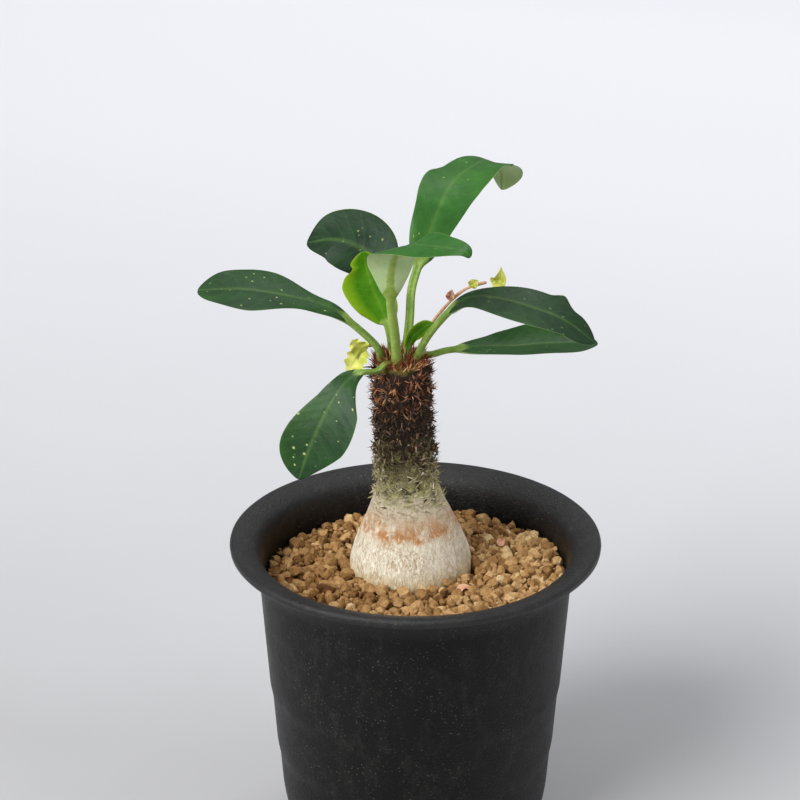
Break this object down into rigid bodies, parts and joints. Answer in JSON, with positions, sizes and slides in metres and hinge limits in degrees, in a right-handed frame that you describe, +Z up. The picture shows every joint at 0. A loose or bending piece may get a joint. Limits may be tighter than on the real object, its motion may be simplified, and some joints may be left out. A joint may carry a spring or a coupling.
{
  "type": "potted euphorbia plant",
  "caption": "Young caudex-forming succulent with a bristly stem, spoon-shaped leaves and small bracts, in a round flared nursery pot of grit.",
  "frame": {"origin": "middle of the pot's base, on the surface it stands on", "axes": "+Z up the pot and stem; +X to the right and -Y towards the viewer when the two overlapping leaves are on the right"},
  "size_m": [0.1124, 0.1096, 0.189],
  "materials": {
    "pot": "matt moulded black plastic, faintly dusty",
    "soil": "dry porous grit, matt",
    "stem": "rough bark, bristly above and smooth and pale below",
    "leaf": "waxy dark green, paler below",
    "young_leaf": "soft yellow-green",
    "stalk": "thin fleshy stalk, satin",
    "bract": "papery yellow-green",
    "dry_bract": "dry, pinkish brown"
  },
  "bodies": {
    "root": {"pot": "pot", "soil": "soil", "stem": "stem", "leaf_left": "leaf", "leaf_low_left": "leaf", "leaf_back_left": "leaf", "leaf_front": "leaf", "leaf_tall": "leaf", "leaf_right_upper": "leaf", "leaf_right_lower": "leaf", "leaf_young": "young_leaf", "leaf_bud": "young_leaf", "left_flower_stalk": "stalk", "right_flower_stalk": "stalk", "left_bract_upper": "bract", "left_bract_lower": "bract", "right_bract_low": "bract", "right_bract_middle": "bract", "right_bract_pointed": "bract", "right_bract_end": "bract", "fallen_bract_front": "dry_bract", "fallen_bract_right": "dry_bract"}
  },
  "joints": []
}
